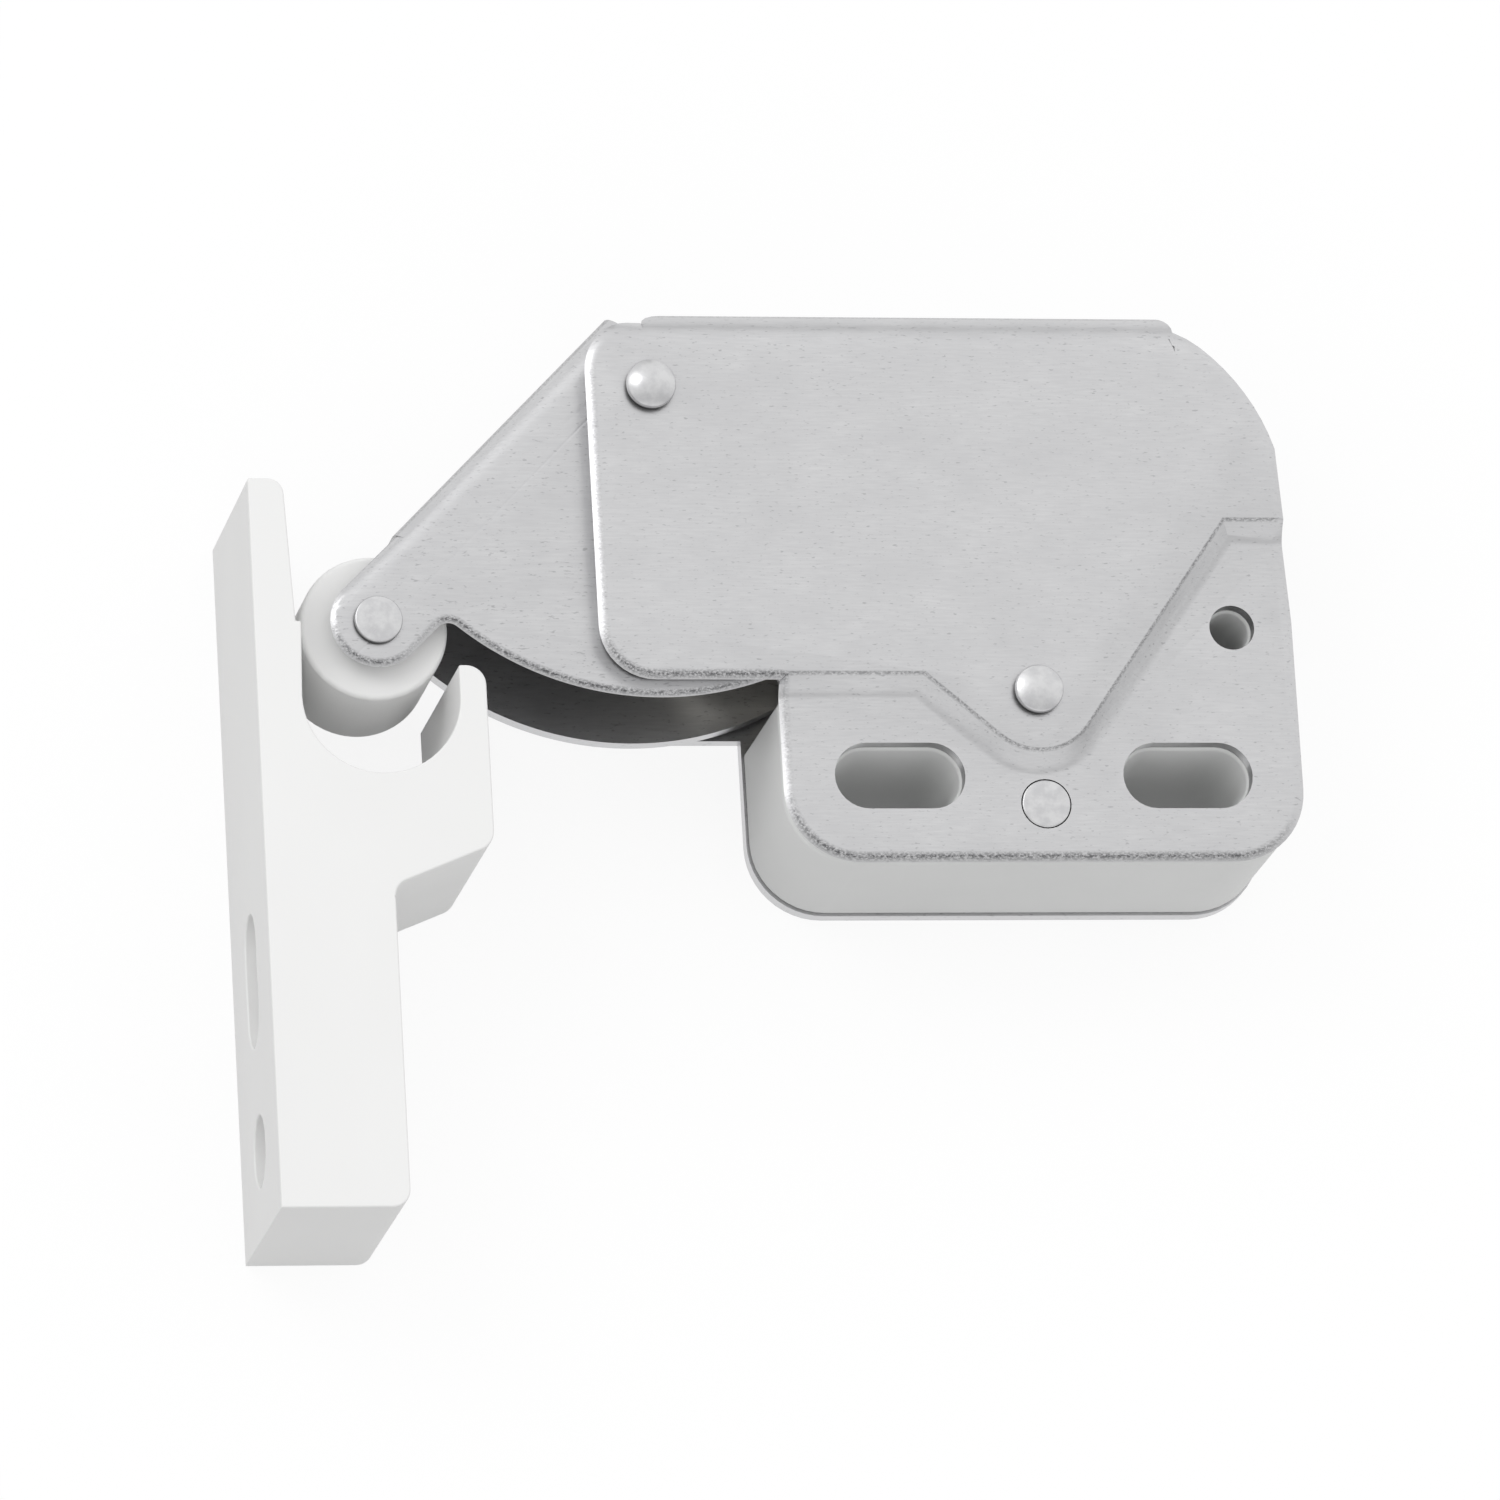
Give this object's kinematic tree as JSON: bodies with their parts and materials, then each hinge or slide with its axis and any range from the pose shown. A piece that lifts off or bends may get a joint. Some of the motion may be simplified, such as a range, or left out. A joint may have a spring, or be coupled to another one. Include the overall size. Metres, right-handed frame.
{
  "type": "touch latch",
  "caption": "Sprung touch latch for a cabinet door: a folded steel housing with screw slots, a swinging roller arm held by an inner pawl, and a plastic strike that takes the roller.",
  "frame": {"origin": "on the flat back face of the housing, midway between the screw slots", "axes": "+X the way the door pushes the strike in, +Y towards the folded edge of the housing, +Z out of the back face towards the front plate"},
  "size_m": [0.059, 0.0519, 0.0141],
  "materials": {
    "zinc_sheet": "bright zinc-plated sheet with a fine rolling grain",
    "rivet_steel": "zinc-plated turned and riveted steel",
    "spring_steel": "drawn spring wire",
    "white_plastic": "satin moulded white plastic",
    "block_plastic": "satin moulded pale grey plastic",
    "pawl_plastic": "satin moulded natural plastic"
  },
  "bodies": {
    "housing": {"housing_shell": "zinc_sheet", "spacer_block": "block_plastic", "block_rivet": "rivet_steel", "arm_pivot_pin": "rivet_steel", "arm_pivot_sleeve": "rivet_steel", "arm_washer_rear": "rivet_steel", "arm_washer_front": "rivet_steel", "arm_spring": "spring_steel", "pawl_pin": "rivet_steel", "pawl_bush": "rivet_steel", "pawl_spring": "spring_steel"},
    "arm": {"swing_arm": "zinc_sheet", "follower_stud": "rivet_steel", "roller_pin": "rivet_steel"},
    "roller": {"roller": "white_plastic"},
    "pawl": {"catch_pawl": "pawl_plastic"},
    "strike": {"strike": "white_plastic"}
  },
  "joints": [
    {"name": "arm_swing", "type": "hinge", "parent": "housing", "child": "arm", "pos_m": [-0.0213, 0.0223, 0.0065], "axis": [0, 0, 1], "range_deg": [0, 13], "stiffness_Nm_per_rad": 0.05, "springref_deg": -28.65},
    {"name": "roller_spin", "type": "hinge", "parent": "arm", "child": "roller", "pos_m": [-0.03705, 0.00905, 0.0065], "axis": [0, 0, 1], "continuous": true},
    {"name": "pawl_swing", "type": "hinge", "parent": "housing", "child": "pawl", "pos_m": [-0.00032, 0.0046, 0.0065], "axis": [0, 0, 1], "range_deg": [-4, 0]},
    {"name": "strike_travel", "type": "slide", "parent": "housing", "child": "strike", "axis": [1, 0, 0], "range_m": [0, 0.0036]}
  ],
  "couplings": [
    {"joint": "pawl_swing", "follows": "arm_swing", "ratio": -0.3},
    {"joint": "strike_travel", "follows": "arm_swing", "m_per_rad": 0.01586}
  ]
}
